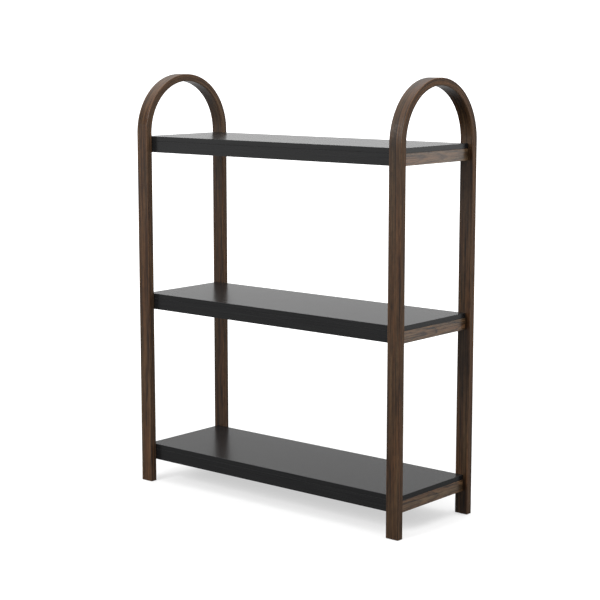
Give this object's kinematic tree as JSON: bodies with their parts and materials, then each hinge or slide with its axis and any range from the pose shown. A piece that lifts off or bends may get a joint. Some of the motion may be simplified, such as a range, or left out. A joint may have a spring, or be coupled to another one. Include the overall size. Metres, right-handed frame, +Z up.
{
  "type": "open shelf hutch",
  "caption": "Free-standing open shelf: black shelves carried between bent walnut hoops whose legs join in half-round arches above the top shelf.",
  "frame": {"origin": "on the floor, in the middle of the footprint", "axes": "+X along the shelves towards the right hoop, +Y from the front to the rear, +Z up"},
  "size_m": [0.826, 0.293, 1.0399],
  "materials": {
    "hoop_walnut": "dark walnut veneer lamination, satin lacquer",
    "rail_walnut": "dark walnut, satin lacquer",
    "black_panel": "board lacquered satin black",
    "black_apron": "board lacquered satin black",
    "bolt_steel": "zinc plated",
    "cam_zinc": "die-cast zinc, unplated",
    "dowel_beech": "raw beech",
    "screw_steel": "zinc plated",
    "glide_nylon": "moulded nylon",
    "nail_steel": "zinc plated"
  },
  "bodies": {
    "root": {"left_hoop": "hoop_walnut", "right_hoop": "hoop_walnut", "top_panel": "black_panel", "middle_panel": "black_panel", "bottom_panel": "black_panel", "top_front_apron": "black_apron", "middle_front_apron": "black_apron", "bottom_front_apron": "black_apron", "top_rear_apron": "black_apron", "middle_rear_apron": "black_apron", "bottom_rear_apron": "black_apron", "top_left_rail": "rail_walnut", "middle_left_rail": "rail_walnut", "bottom_left_rail": "rail_walnut", "top_right_rail": "rail_walnut", "middle_right_rail": "rail_walnut", "bottom_right_rail": "rail_walnut", "cam_bolts": "bolt_steel", "cam_locks": "cam_zinc", "locating_dowels": "dowel_beech", "panel_screws": "screw_steel", "foot_glides": "glide_nylon", "glide_nails": "nail_steel"}
  },
  "joints": []
}
